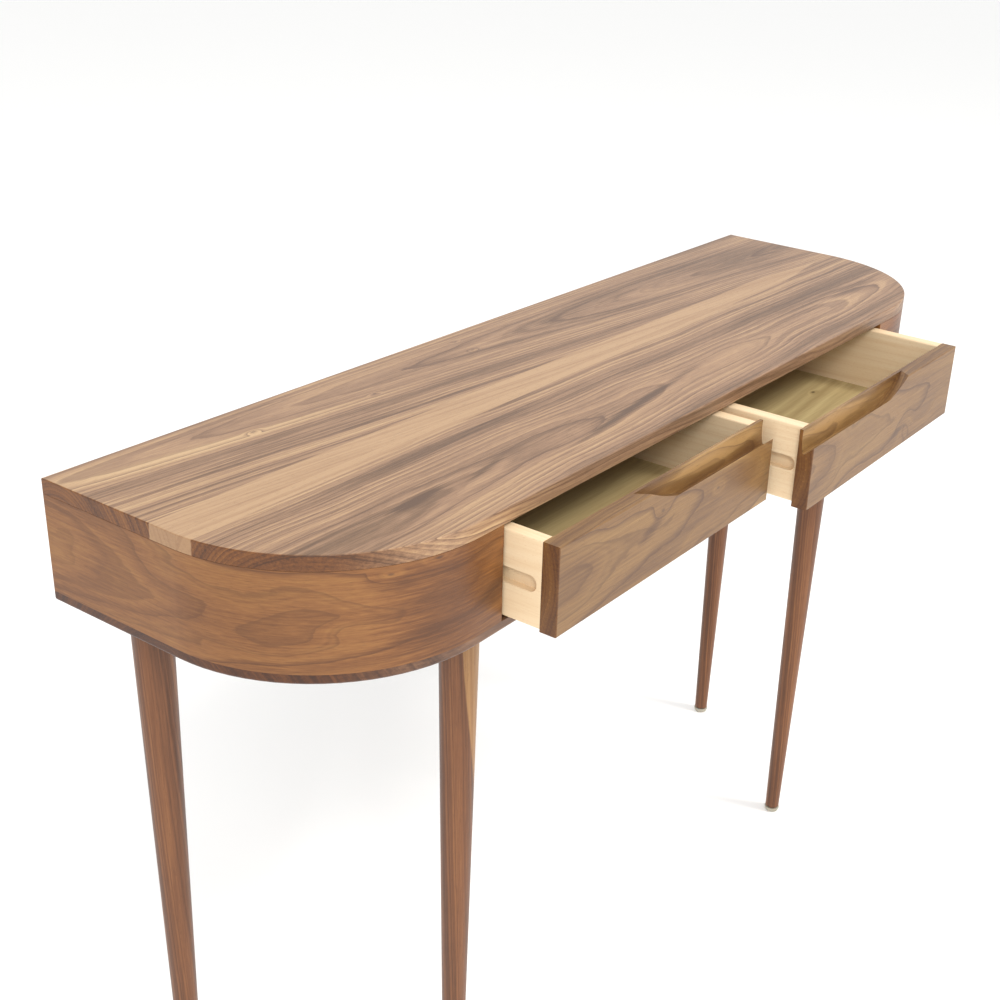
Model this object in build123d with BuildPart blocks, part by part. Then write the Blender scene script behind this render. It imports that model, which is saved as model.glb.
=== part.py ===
from build123d import *
import os

# D-shaped console table with two drawers that share one scooped pull.
# Millimetres. Origin on the floor, in the middle of the case's length and depth.
# X runs along the table, Y from front to rear, Z up.

# Overall
length = 1200
depth = 340
height = 785
corner_radius = 178

# Case
case_height = 120
top_thickness = 15
bottom_thickness = 10
edge_ease = 1.2
bottom_round = 3.5
bent_side_thickness = 12
panel_thickness = 12
divider_thickness = 15
divider_setback = 20
opening_half = 388

# Drawers
left_open = 57
right_open = 103
front_half_gap = 1.25
front_outer_end = 385
front_thickness = 18
front_top_gap = 5
front_bottom_gap = 2
drawer_side_thickness = 15
inner_side_face = 8.5
drawer_side_lift = 4.4
drawer_side_length = 290
drawer_back_thickness = 12
drawer_back_drop = 6
drawer_bottom_thickness = 6
drawer_bottom_lip = 4.6
bottom_groove_depth = 6
drawer_edge_round = 2

# Scooped pull: depths from the front's face, drops from its top edge
lip_drop = 17.3
scoop_floor_drop = 26.3
scoop_floor_front = 9.5
scoop_floor_rear = 12.2
scoop_hollow = 14.1
scoop_wall_top = 14
scoop_ramp_start = 150
scoop_ramp_dip = 2
scoop_ramp_lip = 193
scoop_ramp_middle = 220
scoop_ramp_end = 240
scoop_end_slant = 0.75

# Side-hung runners
groove_height = 16
groove_depth = 8
groove_centre_drop = 64
groove_front_stop = 5
runner_play = 0.3
runner_tip_gap = 0.5
runner_front_gap = 1
runner_rear_gap = 8

# Legs
leg_edge_inset = 58
front_leg_x = 376
rear_leg_x = 544
leg_top_radius = 19.6
leg_foot_radius = 9.8
leg_foot_height = 8

# Fasteners
bore_play = 0.05
dowel_radius = 3
dowel_length = 24
dowel_in_front = 10
dowel_in_back = 15
lower_dowel_drop = 88
upper_dowel_drop = 51.5
hanger_radius = 4
hanger_in_leg = 40
t_nut_radius = 5
t_nut_length = 9
t_nut_flange_radius = 9
t_nut_flange = 1.2
insert_radius = 5
insert_length = 14
screw_radius = 1.75
screw_head_radius = 3.5
screw_length = 17
screw_pitch = 105
divider_screw_shift = 9

# Glides
stem_radius = 3
stem_length = 32
stem_in_foot = 3.5
stem_bore_radius = 3.5
stem_bore_length = 46
glide_height = 6.6
glide_radius = 10.6
glide_rim_height = 2.2
glide_rim_ease = 0.4
glide_waist_radius = 10.1
glide_hollow_step = 0.6
glide_hollow_share = 0.4
glide_base_radius = 7.4
shoulder_radius = 5.5
shoulder_gap = 0.3

# Places worked out from the sizes above
front_y = -depth / 2
rear_y = depth / 2
case_bottom = height - case_height
floor_z = case_bottom + bottom_thickness
ceiling_z = height - top_thickness
case_inside = ceiling_z - floor_z
inner_rear_y = rear_y - panel_thickness
groove_z = height - groove_centre_drop
drawer_top_z = ceiling_z - front_top_gap
front_bottom_z = floor_z + front_bottom_gap
side_bottom_z = floor_z + drawer_side_lift
ply_z = side_bottom_z + drawer_bottom_lip
rear_leg_y = rear_y - leg_edge_inset
front_leg_y = front_y + leg_edge_inset
leg_places = {
    "front_left": (-front_leg_x, front_leg_y),
    "front_right": (front_leg_x, front_leg_y),
    "rear_left": (-rear_leg_x, rear_leg_y),
    "rear_right": (rear_leg_x, rear_leg_y),
}
runner_front_y = front_y + front_thickness + groove_front_stop + runner_front_gap
runner_rear_y = inner_rear_y - runner_rear_gap
outer_tip_x = front_outer_end - groove_depth + runner_tip_gap
inner_tip_x = inner_side_face + groove_depth - runner_tip_gap
divider_half = divider_thickness / 2
dowel_zs = (height - lower_dowel_drop, height - upper_dowel_drop)

# Each runner: the panel face it stands on, its tip, and the Y of its middle screw
runners = {
    "left_drawer_outer_runner": (-opening_half, -outer_tip_x, 0),
    "left_drawer_inner_runner": (-divider_half, -inner_tip_x, -divider_screw_shift),
    "right_drawer_inner_runner": (divider_half, inner_tip_x, divider_screw_shift),
    "right_drawer_outer_runner": (opening_half, outer_tip_x, 0),
}

os.makedirs("parts", exist_ok=True)


def save(piece, name):
    """Label one finished piece and write its STEP file."""
    piece.label = name
    export_step(piece, f"parts/{name}.step")


def d_outline(inset=0):
    """The case outline: square at the rear corners, round at the front ones."""
    with BuildSketch() as outline:
        Rectangle(length - 2 * inset, depth - 2 * inset)
        front_corners = outline.vertices().group_by(Axis.Y)[0]
        fillet(front_corners, corner_radius - inset)
    return outline.sketch


def box_between(corner, opposite, mode=Mode.ADD):
    """A box from one corner to the opposite one."""
    with Locations(tuple((a + b) / 2 for a, b in zip(corner, opposite))):
        Box(*[abs(b - a) for a, b in zip(corner, opposite)], mode=mode)


def runner_screw_set(face_x, tip_x, middle_y, play=0, mode=Mode.ADD):
    """Three countersunk screws driven in from a runner's tip, or, with play, their bores."""
    into = 1 if face_x > tip_x else -1
    head_height = screw_head_radius - screw_radius
    for y in (middle_y - screw_pitch, middle_y, middle_y + screw_pitch):
        with Locations((tip_x + into * screw_length / 2, y, groove_z)):
            Cylinder(screw_radius + play, screw_length, rotation=(0, 90, 0), mode=mode)
        with Locations((tip_x + into * head_height / 2, y, groove_z)):
            Cone(
                screw_head_radius + play,
                screw_radius + play,
                head_height,
                rotation=(0, into * 90, 0),
                mode=mode,
            )


def drawer_dowel_set(sign, box_front_y, play=0, mode=Mode.ADD):
    """The eight dowels of a drawer box, four at the front and four at the back."""
    outer_mid = sign * (front_outer_end - drawer_side_thickness / 2)
    inner_mid = sign * (inner_side_face + drawer_side_thickness / 2)
    outer_inside = sign * (front_outer_end - drawer_side_thickness)
    inner_inside = sign * (inner_side_face + drawer_side_thickness)
    back_mid_y = box_front_y + drawer_side_length - drawer_back_thickness / 2
    front_mid_y = box_front_y + dowel_length / 2 - dowel_in_front
    back_reach = sign * (dowel_length / 2 - dowel_in_back)
    outer_back_x = outer_inside + back_reach
    inner_back_x = inner_inside - back_reach
    for z in dowel_zs:
        with Locations((outer_mid, front_mid_y, z), (inner_mid, front_mid_y, z)):
            Cylinder(dowel_radius + play, dowel_length, rotation=(90, 0, 0), mode=mode)
        with Locations((outer_back_x, back_mid_y, z), (inner_back_x, back_mid_y, z)):
            Cylinder(dowel_radius + play, dowel_length, rotation=(0, 90, 0), mode=mode)


# Top: one blank with eased edges, sawn along the glue line into its two boards
with BuildPart() as top_blank:
    with BuildSketch(Plane.XY.offset(ceiling_z)):
        add(d_outline())
    extrude(amount=top_thickness)
    fillet(top_blank.faces().sort_by(Axis.Z)[-1].edges(), edge_ease)
    fillet(top_blank.faces().sort_by(Axis.Z)[0].edges(), edge_ease / 2)

with BuildPart() as top_board_front:
    add(top_blank.part)
    split(bisect_by=Plane.XZ, keep=Keep.TOP)
save(top_board_front.part, "top_board_front")

with BuildPart() as top_board_rear:
    add(top_blank.part)
    split(bisect_by=Plane.XZ, keep=Keep.BOTTOM)
save(top_board_rear.part, "top_board_rear")

# Bottom panel, its lower edge rounded in, bored for the four leg nuts
with BuildPart() as bottom_panel:
    with BuildSketch(Plane.XY.offset(case_bottom)):
        add(d_outline())
    extrude(amount=bottom_thickness)
    fillet(bottom_panel.faces().sort_by(Axis.Z)[0].edges(), bottom_round)
    with BuildSketch(Plane.XY.offset(case_bottom)):
        with Locations(*leg_places.values()):
            Circle(t_nut_radius + bore_play)
    extrude(amount=bottom_thickness, mode=Mode.SUBTRACT)
save(bottom_panel.part, "bottom_panel")

# Bent sides, from the rear corners round to the drawer opening
for name, sign in (("left", -1), ("right", 1)):
    with BuildPart() as curved_side:
        with BuildSketch(Plane.XY.offset(floor_z)):
            add(d_outline())
            add(d_outline(bent_side_thickness), mode=Mode.SUBTRACT)
            with Locations((0, rear_y)):
                Rectangle(length - 2 * bent_side_thickness, depth, mode=Mode.SUBTRACT)
            with Locations((sign * (opening_half + length / 2), 0)):
                Rectangle(length, depth, mode=Mode.INTERSECT)
        extrude(amount=case_inside)
        opening_arris = curved_side.edges().filter_by(Axis.Z).sort_by(Axis.X)
        fillet(opening_arris[-2:] if sign < 0 else opening_arris[:2], edge_ease / 2)
    save(curved_side.part, f"{name}_curved_side")

    # Upright just behind the bent side's end, which carries the outer runner
    with BuildPart() as guide_panel:
        box_between(
            (sign * opening_half, front_y + bent_side_thickness, floor_z),
            (sign * (opening_half + panel_thickness), inner_rear_y, ceiling_z),
        )
        runner_screw_set(*runners[f"{name}_drawer_outer_runner"], bore_play, Mode.SUBTRACT)
    save(guide_panel.part, f"{name}_guide_panel")

# Back panel, let in between the two bent sides
with BuildPart() as back_panel:
    back_half = length / 2 - bent_side_thickness
    box_between((-back_half, inner_rear_y, floor_z), (back_half, rear_y, ceiling_z))
save(back_panel.part, "back_panel")

# Divider between the drawers, set back behind their fronts
with BuildPart() as center_divider:
    box_between(
        (-divider_half, front_y + divider_setback, floor_z),
        (divider_half, inner_rear_y, ceiling_z),
    )
    runner_screw_set(*runners["left_drawer_inner_runner"], bore_play, Mode.SUBTRACT)
    runner_screw_set(*runners["right_drawer_inner_runner"], bore_play, Mode.SUBTRACT)
save(center_divider.part, "center_divider")

# Runners: each one's rounded front end meets the end of the groove as the drawer shuts
for name, (face_x, tip_x, middle_y) in runners.items():
    with BuildPart() as runner:
        with BuildSketch(Plane.YZ.offset(face_x)) as runner_face:
            with Locations(((runner_front_y + runner_rear_y) / 2, groove_z)):
                Rectangle(runner_rear_y - runner_front_y, groove_height - 2 * runner_play)
            front_ends = runner_face.vertices().group_by(Axis.X)[0]
            fillet(front_ends, groove_height / 2 - 2 * runner_play)
        extrude(amount=tip_x - face_x)
        runner_screw_set(face_x, tip_x, middle_y, bore_play, Mode.SUBTRACT)
    save(runner.part, name)

# The screws that hold the runners, as separate solids in one node
with BuildPart() as runner_screws:
    for face_x, tip_x, middle_y in runners.values():
        runner_screw_set(face_x, tip_x, middle_y)
save(runner_screws.part, "runner_screws")

# The two drawers, mirror images, each standing open by its own amount
for name, sign, opened in (("left", -1, left_open), ("right", 1, right_open)):
    face_y = front_y - opened
    box_front_y = face_y + front_thickness
    box_rear_y = box_front_y + drawer_side_length
    outer_x = sign * front_outer_end
    inner_x = sign * inner_side_face
    outer_inside_x = outer_x - sign * drawer_side_thickness
    inner_inside_x = inner_x + sign * drawer_side_thickness
    ply_top_z = ply_z + drawer_bottom_thickness
    ply_corner = (inner_inside_x - sign * bottom_groove_depth, box_front_y - bottom_groove_depth, ply_z)
    ply_opposite = (outer_inside_x + sign * bottom_groove_depth, box_rear_y, ply_top_z)

    # Scoop cutter: one cross-section run along the front, closed by a slanting ramp
    scoop_floor_z = drawer_top_z - scoop_floor_drop
    lip_z = drawer_top_z - lip_drop
    above_z = drawer_top_z + lip_drop
    with BuildPart() as scoop:
        with BuildSketch(Plane.YZ):
            with BuildLine():
                Polyline(
                    (face_y + scoop_wall_top, drawer_top_z),
                    (face_y + scoop_wall_top, above_z),
                    (face_y - lip_drop, above_z),
                    (face_y - lip_drop, lip_z),
                    (face_y, lip_z),
                    (face_y + scoop_floor_front, scoop_floor_z),
                    (face_y + scoop_floor_rear, scoop_floor_z),
                )
                ThreePointArc(
                    (face_y + scoop_floor_rear, scoop_floor_z),
                    (face_y + scoop_hollow, (scoop_floor_z + drawer_top_z) / 2),
                    (face_y + scoop_wall_top, drawer_top_z),
                )
            make_face()
        extrude(amount=sign * length / 4)
        with BuildSketch(Plane.XZ.offset(-face_y)):
            with BuildLine():
                ramp = Spline(
                    (sign * scoop_ramp_start, scoop_floor_z - scoop_ramp_dip),
                    (sign * scoop_ramp_lip, lip_z),
                    (sign * scoop_ramp_middle, drawer_top_z - lip_drop / 2),
                    (sign * scoop_ramp_end, drawer_top_z),
                )
                Polyline(
                    ramp @ 1,
                    (sign * scoop_ramp_end, above_z),
                    (-sign * scoop_ramp_start, above_z),
                    (-sign * scoop_ramp_start, scoop_floor_z - scoop_ramp_dip),
                    ramp @ 0,
                )
            make_face()
        slant = Vector(sign * scoop_end_slant, 1, 0)
        extrude(amount=2 * front_thickness, dir=slant, both=True, mode=Mode.INTERSECT)

    with BuildPart() as front:
        box_between((sign * front_half_gap, face_y, front_bottom_z), (outer_x, box_front_y, drawer_top_z))
        fillet(front.faces().sort_by(Axis.Y)[0].edges(), edge_ease)
        fillet(front.edges().filter_by(Axis.X).group_by(Axis.Z)[-1], edge_ease / 2)
        box_between(ply_corner, ply_opposite, Mode.SUBTRACT)
        drawer_dowel_set(sign, box_front_y, bore_play, Mode.SUBTRACT)
        add(scoop.part, mode=Mode.SUBTRACT)
    save(front.part, f"{name}_drawer_front")

    # Sides: a stopped groove outside takes the runner, a narrow one inside the bottom
    for which, face_x, inward in (("outer", outer_x, -sign), ("inner", inner_x, sign)):
        with BuildPart() as side:
            box_between(
                (face_x, box_front_y, side_bottom_z),
                (face_x + inward * drawer_side_thickness, box_rear_y, drawer_top_z),
            )
            fillet(side.edges().filter_by(Axis.Y).group_by(Axis.Z)[-1], drawer_edge_round)
            fillet(side.edges().filter_by(Axis.Y).group_by(Axis.Z)[0], edge_ease)
            with BuildSketch(Plane.YZ.offset(face_x)) as groove:
                with Locations((box_front_y + groove_front_stop + drawer_side_length / 2, groove_z)):
                    Rectangle(drawer_side_length, groove_height)
                groove_ends = groove.vertices().group_by(Axis.X)[0]
                fillet(groove_ends, groove_height / 2 - runner_play)
            extrude(amount=inward * groove_depth, mode=Mode.SUBTRACT)
            box_between(ply_corner, ply_opposite, Mode.SUBTRACT)
            drawer_dowel_set(sign, box_front_y, bore_play, Mode.SUBTRACT)
        save(side.part, f"{name}_drawer_{which}_side")

    # Back: between the sides, standing on the bottom and a little lower than the sides
    with BuildPart() as back:
        box_between(
            (inner_inside_x, box_rear_y - drawer_back_thickness, ply_top_z),
            (outer_inside_x, box_rear_y, drawer_top_z - drawer_back_drop),
        )
        drawer_dowel_set(sign, box_front_y, bore_play, Mode.SUBTRACT)
    save(back.part, f"{name}_drawer_back")

    with BuildPart() as bottom:
        box_between(ply_corner, ply_opposite)
    save(bottom.part, f"{name}_drawer_bottom")

    with BuildPart() as dowels:
        drawer_dowel_set(sign, box_front_y)
    save(dowels.part, f"{name}_drawer_dowels")

# Legs, turned to a straight taper, each with its glide
for name, (leg_x, leg_y) in leg_places.items():
    with BuildPart() as leg:
        leg_length = case_bottom - leg_foot_height
        with Locations((leg_x, leg_y, leg_foot_height + leg_length / 2)):
            Cone(leg_foot_radius, leg_top_radius, leg_length)
        fillet(leg.edges().sort_by(Axis.Z)[0], edge_ease / 2)
        with Locations((leg_x, leg_y, case_bottom - hanger_in_leg / 2)):
            Cylinder(hanger_radius + bore_play, hanger_in_leg, mode=Mode.SUBTRACT)
        with Locations((leg_x, leg_y, leg_foot_height + insert_length / 2)):
            Cylinder(insert_radius + bore_play, insert_length, mode=Mode.SUBTRACT)
        with Locations((leg_x, leg_y, leg_foot_height + stem_bore_length / 2)):
            Cylinder(stem_bore_radius, stem_bore_length, mode=Mode.SUBTRACT)
    save(leg.part, f"{name}_leg")

    # Glide stem: a screw with a hexagonal shoulder that shows in the gap under the leg
    with BuildPart() as stem:
        with Locations((leg_x, leg_y, glide_height - stem_in_foot)):
            stem_reach = stem_in_foot + stem_length
            Cylinder(stem_radius, stem_reach, align=(Align.CENTER, Align.CENTER, Align.MIN))
        with BuildSketch(Plane.XY.offset(glide_height)):
            with Locations((leg_x, leg_y)):
                RegularPolygon(shoulder_radius, 6)
        extrude(amount=leg_foot_height - shoulder_gap - glide_height)
    save(stem.part, f"{name}_glide_stem")

    # Glide foot: a rim over a body that rounds in to the floor
    with BuildPart() as foot:
        rim_z = glide_height - glide_rim_height
        with BuildSketch(Plane.XZ.offset(-leg_y)):
            with BuildLine():
                Polyline(
                    (leg_x + stem_radius + bore_play, glide_height),
                    (leg_x + glide_radius, glide_height),
                    (leg_x + glide_radius, rim_z),
                    (leg_x + glide_waist_radius, rim_z),
                )
                ThreePointArc(
                    (leg_x + glide_waist_radius, rim_z),
                    (leg_x + glide_waist_radius - glide_hollow_step, rim_z * glide_hollow_share),
                    (leg_x + glide_base_radius, 0),
                )
                Polyline(
                    (leg_x + glide_base_radius, 0),
                    (leg_x, 0),
                    (leg_x, glide_height - stem_in_foot),
                    (leg_x + stem_radius + bore_play, glide_height - stem_in_foot),
                    (leg_x + stem_radius + bore_play, glide_height),
                )
            make_face()
        revolve(axis=Axis((leg_x, leg_y, 0), (0, 0, 1)))
        rim_edges = foot.edges().filter_by(GeomType.CIRCLE).group_by(SortBy.RADIUS)[-1]
        fillet(rim_edges, glide_rim_ease)
    save(foot.part, f"{name}_glide_foot")

# Leg hardware, each kind as separate solids in one node
with BuildPart() as leg_inserts:
    for leg_x, leg_y in leg_places.values():
        with Locations((leg_x, leg_y, leg_foot_height + insert_length / 2)):
            Cylinder(insert_radius, insert_length)
            Cylinder(stem_radius + bore_play, insert_length, mode=Mode.SUBTRACT)
save(leg_inserts.part, "leg_inserts")

with BuildPart() as leg_t_nuts:
    for leg_x, leg_y in leg_places.values():
        with Locations((leg_x, leg_y, floor_z + t_nut_flange)):
            above = (Align.CENTER, Align.CENTER, Align.MAX)
            Cylinder(t_nut_flange_radius, t_nut_flange, align=above)
            Cylinder(t_nut_radius, t_nut_length, align=above)
            Cylinder(hanger_radius + bore_play, t_nut_length, align=above, mode=Mode.SUBTRACT)
save(leg_t_nuts.part, "leg_t_nuts")

with BuildPart() as leg_hanger_bolts:
    for leg_x, leg_y in leg_places.values():
        bolt_length = hanger_in_leg + bottom_thickness + t_nut_flange
        with Locations((leg_x, leg_y, case_bottom - hanger_in_leg + bolt_length / 2)):
            Cylinder(hanger_radius, bolt_length)
save(leg_hanger_bolts.part, "leg_hanger_bolts")
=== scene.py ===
import math

import bmesh
import bpy
import numpy as np
from mathutils import Euler, Matrix, Vector


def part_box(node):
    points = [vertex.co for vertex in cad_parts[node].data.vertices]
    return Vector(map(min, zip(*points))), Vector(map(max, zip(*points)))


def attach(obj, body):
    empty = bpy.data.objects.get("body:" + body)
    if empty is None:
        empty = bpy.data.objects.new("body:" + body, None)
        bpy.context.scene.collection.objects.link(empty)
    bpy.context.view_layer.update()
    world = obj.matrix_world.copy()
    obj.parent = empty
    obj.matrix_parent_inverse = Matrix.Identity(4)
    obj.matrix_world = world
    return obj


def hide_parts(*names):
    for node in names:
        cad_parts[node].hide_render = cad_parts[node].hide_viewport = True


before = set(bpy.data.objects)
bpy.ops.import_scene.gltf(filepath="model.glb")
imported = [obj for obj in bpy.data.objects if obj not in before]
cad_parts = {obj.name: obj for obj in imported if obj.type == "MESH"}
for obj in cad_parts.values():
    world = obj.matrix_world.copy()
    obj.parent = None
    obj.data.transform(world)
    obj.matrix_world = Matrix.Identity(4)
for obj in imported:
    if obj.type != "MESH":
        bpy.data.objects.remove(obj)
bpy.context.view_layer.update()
print("frame loaded:", len(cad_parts), "nodes")

mm = 0.001


def hexColour(code):
    # sRGB hex to the linear light that shaders use
    parts = np.array([int(code[i:i + 2], 16) for i in (1, 3, 5)]) / 255
    linear = np.where(parts <= 0.04045, parts / 12.92, ((parts + 0.055) / 1.055) ** 2.4)
    return (*linear.tolist(), 1.0)


def addNode(tree, kind, links=(), out=0, stops=(), **settings):
    # links feeds the inputs, by order or by name, with numbers or other nodes' outputs;
    # settings are the node's own options; what comes back is one of its outputs
    made = tree.nodes.new("ShaderNode" + kind)
    for key, value in settings.items():
        setattr(made, key, value)
    for key, value in (links.items() if isinstance(links, dict) else enumerate(links)):
        if isinstance(value, bpy.types.NodeSocket):
            tree.links.new(value, made.inputs[key])
        else:
            made.inputs[key].default_value = value
    if stops:
        ramp = made.color_ramp.elements
        ramp.remove(ramp[1])
        ramp[0].position, ramp[0].color = stops[0][0], hexColour(stops[0][1])
        for where, code in stops[1:]:
            ramp.new(where).color = hexColour(code)
    return made.outputs[out] if len(made.outputs) else None


smooth = {"interpolation_type": "SMOOTHSTEP"}
blend = {"data_type": "RGBA", "out": 2}


def newMaterial(name):
    made = bpy.data.materials.new(name)
    made.use_nodes = True
    made.node_tree.nodes.clear()
    return made, made.node_tree


def stretched(tree, place, along, across, detail=3.0, roughness=0.55, shift=0.0, out=0):
    # noise whose marks are about `along` metres long on the grain and `across` wide
    size = (1 / along, 1 / across, 1 / across)
    scaled = addNode(tree, "VectorMath", (place, size, (shift, shift, shift)), operation="MULTIPLY_ADD")
    return addNode(tree, "TexNoise", {"Vector": scaled, "Scale": 1.0, "Detail": detail,
                                      "Roughness": roughness}, out, noise_dimensions="3D")


def boardPlace(tree, spec):
    # a point in the board's own directions: first along the grain, then across, then through
    if spec.get("uv"):
        source = addNode(tree, "UVMap", uv_map=spec["uv"])
    else:
        source = addNode(tree, "TexCoord", out="Object")
    return addNode(tree, "Mapping", {"Vector": source, "Location": spec.get("centre", (0, 0, 0)),
                                     "Rotation": spec.get("turn", (0, 0, 0))}, vector_type="TEXTURE")


def boardPoint(spec, at):
    # the same change of directions for one given point
    turned = Euler(spec.get("turn", (0, 0, 0))).to_matrix().transposed()
    return turned @ (Vector(at) - Vector(spec.get("centre", (0, 0, 0))))


def near(tree, place, spec, mark):
    # how far off a mark's middle, counted in half sizes of the mark: below 1 is inside it
    length, width = mark["size"]
    local = addNode(tree, "Mapping", {"Vector": place, "Location": boardPoint(spec, mark["at"]),
                                      "Rotation": (0, 0, math.radians(mark.get("slant", 0))),
                                      "Scale": (length, width, 3 * width)}, vector_type="TEXTURE")
    return addNode(tree, "VectorMath", (local,), "Value", operation="LENGTH")


def treeRings(tree, place, spec):
    # distance from the log's heart, which wanders and tapers along the grain
    wander = stretched(tree, place, spec["wanderLength"], spec["wanderWidth"], 1.5, 0.5, spec["seed"],
                       "Color")
    centred = addNode(tree, "VectorMath", (wander, (0.5, 0.5, 0.5)), operation="SUBTRACT")
    drift = spec["wander"] * 2
    moved = addNode(tree, "VectorMath", (centred, (0, drift, drift), place), operation="MULTIPLY_ADD")
    heart = (0, -spec["heart"][0], -spec["heart"][1])
    fromHeart = addNode(tree, "VectorMath", (moved, (0, 1, 1), heart), operation="MULTIPLY_ADD")
    radius = addNode(tree, "VectorMath", (fromHeart,), "Value", operation="LENGTH")
    along = addNode(tree, "SeparateXYZ", (place,))
    radius = addNode(tree, "Math", (along, spec["taper"], radius), operation="MULTIPLY_ADD")
    wobble = stretched(tree, place, *spec["wobbleSize"], 3.0, 0.6, spec["seed"] + 13)
    radius = addNode(tree, "Math", (wobble, spec["wobble"], radius), operation="MULTIPLY_ADD")
    for knot in spec.get("knots", ()):
        # the rings swell round a branch: a bump in the distance, wide as the knot's reach
        apart = near(tree, place, spec, knot)
        swell = addNode(tree, "MapRange", (apart, 0.0, 1.0, knot["swell"], 0.0), **smooth)
        radius = addNode(tree, "Math", (radius, swell), operation="ADD")
    return radius


# what every lacquered wood here shares
lacquered = {"ior": 1.5, "poreDepth": 0.25 * mm, "poreRough": 0.07, "faceRough": 0.04,
             "endFrom": (0.2, 0.75),  # from face grain to full end grain
             "sapKeeps": 0.65}        # how much less sapwood darkens on its end grain


def endGrain(tree, spec):
    # 1 where the surface cuts across the grain, 0 where the grain lies in the surface,
    # from how far the surface's normal points along the grain
    facing = addNode(tree, "NewGeometry", out="Normal")
    turned = addNode(tree, "Mapping", {"Vector": facing, "Rotation": spec.get("turn", (0, 0, 0))},
                     vector_type="TEXTURE")
    along = addNode(tree, "Math", (addNode(tree, "SeparateXYZ", (turned,)),), operation="ABSOLUTE")
    return addNode(tree, "MapRange", (along, *spec["endFrom"]), **smooth)


def finishWood(material, tree, colour, height, spec, sapShare=None):
    # a thin coat of satin lacquer over wood whose pores stay open; end grain soaks up
    # more of it and turns darker and browner, the pale sapwood less than the rest
    if not spec.get("uv"):
        soaked = addNode(tree, "Mix", {0: 1.0, 6: colour, 7: hexColour(spec["soaked"])},
                         blend_type="MULTIPLY", **blend)
        across = endGrain(tree, spec)
        if sapShare is not None:
            kept = addNode(tree, "Math", (sapShare, -spec["sapKeeps"], 1.0), operation="MULTIPLY_ADD")
            across = addNode(tree, "Math", (across, kept), operation="MULTIPLY")
        colour = addNode(tree, "Mix", {0: across, 6: colour, 7: soaked}, **blend)
    inPore, onFace = spec["rough"] + spec["poreRough"], spec["rough"] - spec["faceRough"]
    rough = addNode(tree, "MapRange", (height, 0.0, 1.0, inPore, onFace))
    bump = addNode(tree, "Bump", {"Strength": spec["bump"], "Distance": spec["poreDepth"],
                                  "Height": height})
    shader = addNode(tree, "BsdfPrincipled", {"Base Color": colour, "Roughness": rough, "IOR": spec["ior"],
                                              "Specular IOR Level": spec["gloss"], "Normal": bump})
    addNode(tree, "OutputMaterial", (shader,))
    return material


# American walnut under satin lacquer: grey-brown heartwood, a thin dark line where each year
# ends, streaks along the grain and short open pores. Some boards keep a band of cream sapwood.
walnutBase = {
    **lacquered, "seed": 0.0, "heart": (-0.06, -0.07), "taper": 0.03,
    "wander": 6 * mm, "wanderLength": 0.24, "wanderWidth": 0.10,
    "wobble": 1.6 * mm, "wobbleSize": (45 * mm, 13 * mm),
    "ring": 3.6 * mm,            # yearly growth, 3 to 4 mm
    "band": 15 * mm,             # slow colour change over several years
    "fibre": (150 * mm, 2.4 * mm),
    "fleck": (16 * mm, 1.6 * mm),  # short lighter and darker dashes between the pores
    "pore": (9 * mm, 0.7 * mm),  # really 0.2 mm wide, drawn coarser so that they show
    "cloud": (260 * mm, 60 * mm),
    "yearly": 0.85, "slow": 1.3, "streaks": 0.95, "clouds": 0.55, "flecks": 0.35, "knotColour": "#452E22",
    "stops": ((0.0, "#59402D"), (0.28, "#775A41"), (0.5, "#937257"), (0.72, "#A88664"), (1.0, "#BC9C75")),
    "line": "#5C4232", "lineShare": 0.75, "lineLeast": 0.25,  # a faint year keeps a quarter of the line
    "darkening": (0.25, 0.95, 0.4), "thinLine": (0.80, 0.94, 0.6), "lineEnd": 0.95,  # shares of a year
    "patchRagged": 0.9, "patchEdge": (0.55, 1.45), "seamSoft": 6 * mm, "seamTone": 0.05,
    "knotShare": 0.6, "poreFrom": (0.60, 0.72), "poreShare": 0.35, "lateDip": 0.25,
    "rough": 0.44, "gloss": 0.45, "bump": 0.35, "soaked": "#B48C55",
}


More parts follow.
